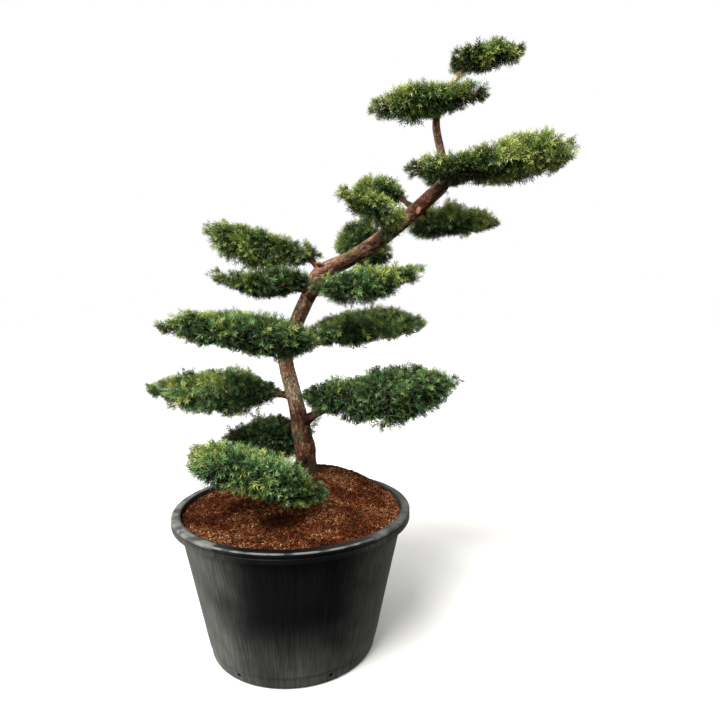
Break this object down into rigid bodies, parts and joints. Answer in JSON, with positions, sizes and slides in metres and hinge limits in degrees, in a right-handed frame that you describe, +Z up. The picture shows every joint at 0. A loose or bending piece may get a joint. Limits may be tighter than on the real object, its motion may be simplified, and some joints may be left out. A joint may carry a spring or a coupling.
{
  "type": "yew bonsai",
  "caption": "Large yew trained as a bonsai: a leaning, twice-bent trunk with clipped cloud pads of needles, in a round tapered nursery pot filled with bark soil.",
  "frame": {"origin": "centre of the pot's flat underside", "axes": "+Z up; -Y towards the side the tree is seen from; +X to that viewer's right, the way the trunk leans"},
  "size_m": [1.0932, 0.6341, 1.5296],
  "materials": {
    "pot_plastic": "black moulded polypropylene, satin, weathered",
    "soil_fibre": "loose red-brown bark fibre",
    "yew_bark": "flaking reddish-brown bark with some moss",
    "yew_needles": "satin green needles, yellower at the shoot tips"
  },
  "bodies": {
    "root": {"back_wide": "yew_needles", "behind_bend": "yew_needles", "bough_back_wide": "yew_bark", "bough_behind_bend": "yew_bark", "bough_left_high": "yew_bark", "bough_left_mid": "yew_bark", "bough_left_wide": "yew_bark", "bough_low_front": "yew_bark", "bough_middle_back": "yew_bark", "bough_middle_front": "yew_bark", "bough_right_front": "yew_bark", "bough_right_long": "yew_bark", "bough_right_low": "yew_bark", "bough_right_mid": "yew_bark", "bough_right_wide": "yew_bark", "bough_upper_back": "yew_bark", "crown": "yew_needles", "left_high": "yew_needles", "left_low": "yew_needles", "left_mid": "yew_needles", "left_wide": "yew_needles", "long_back": "yew_needles", "low_back": "yew_needles", "low_front": "yew_needles", "middle_back": "yew_needles", "middle_front": "yew_needles", "pot": "pot_plastic", "right_front": "yew_needles", "right_long": "yew_needles", "right_low": "yew_needles", "right_mid": "yew_needles", "right_wide": "yew_needles", "soil": "soil_fibre", "trunk": "yew_bark", "upper_back": "yew_needles", "upper_front": "yew_needles"}
  },
  "joints": []
}
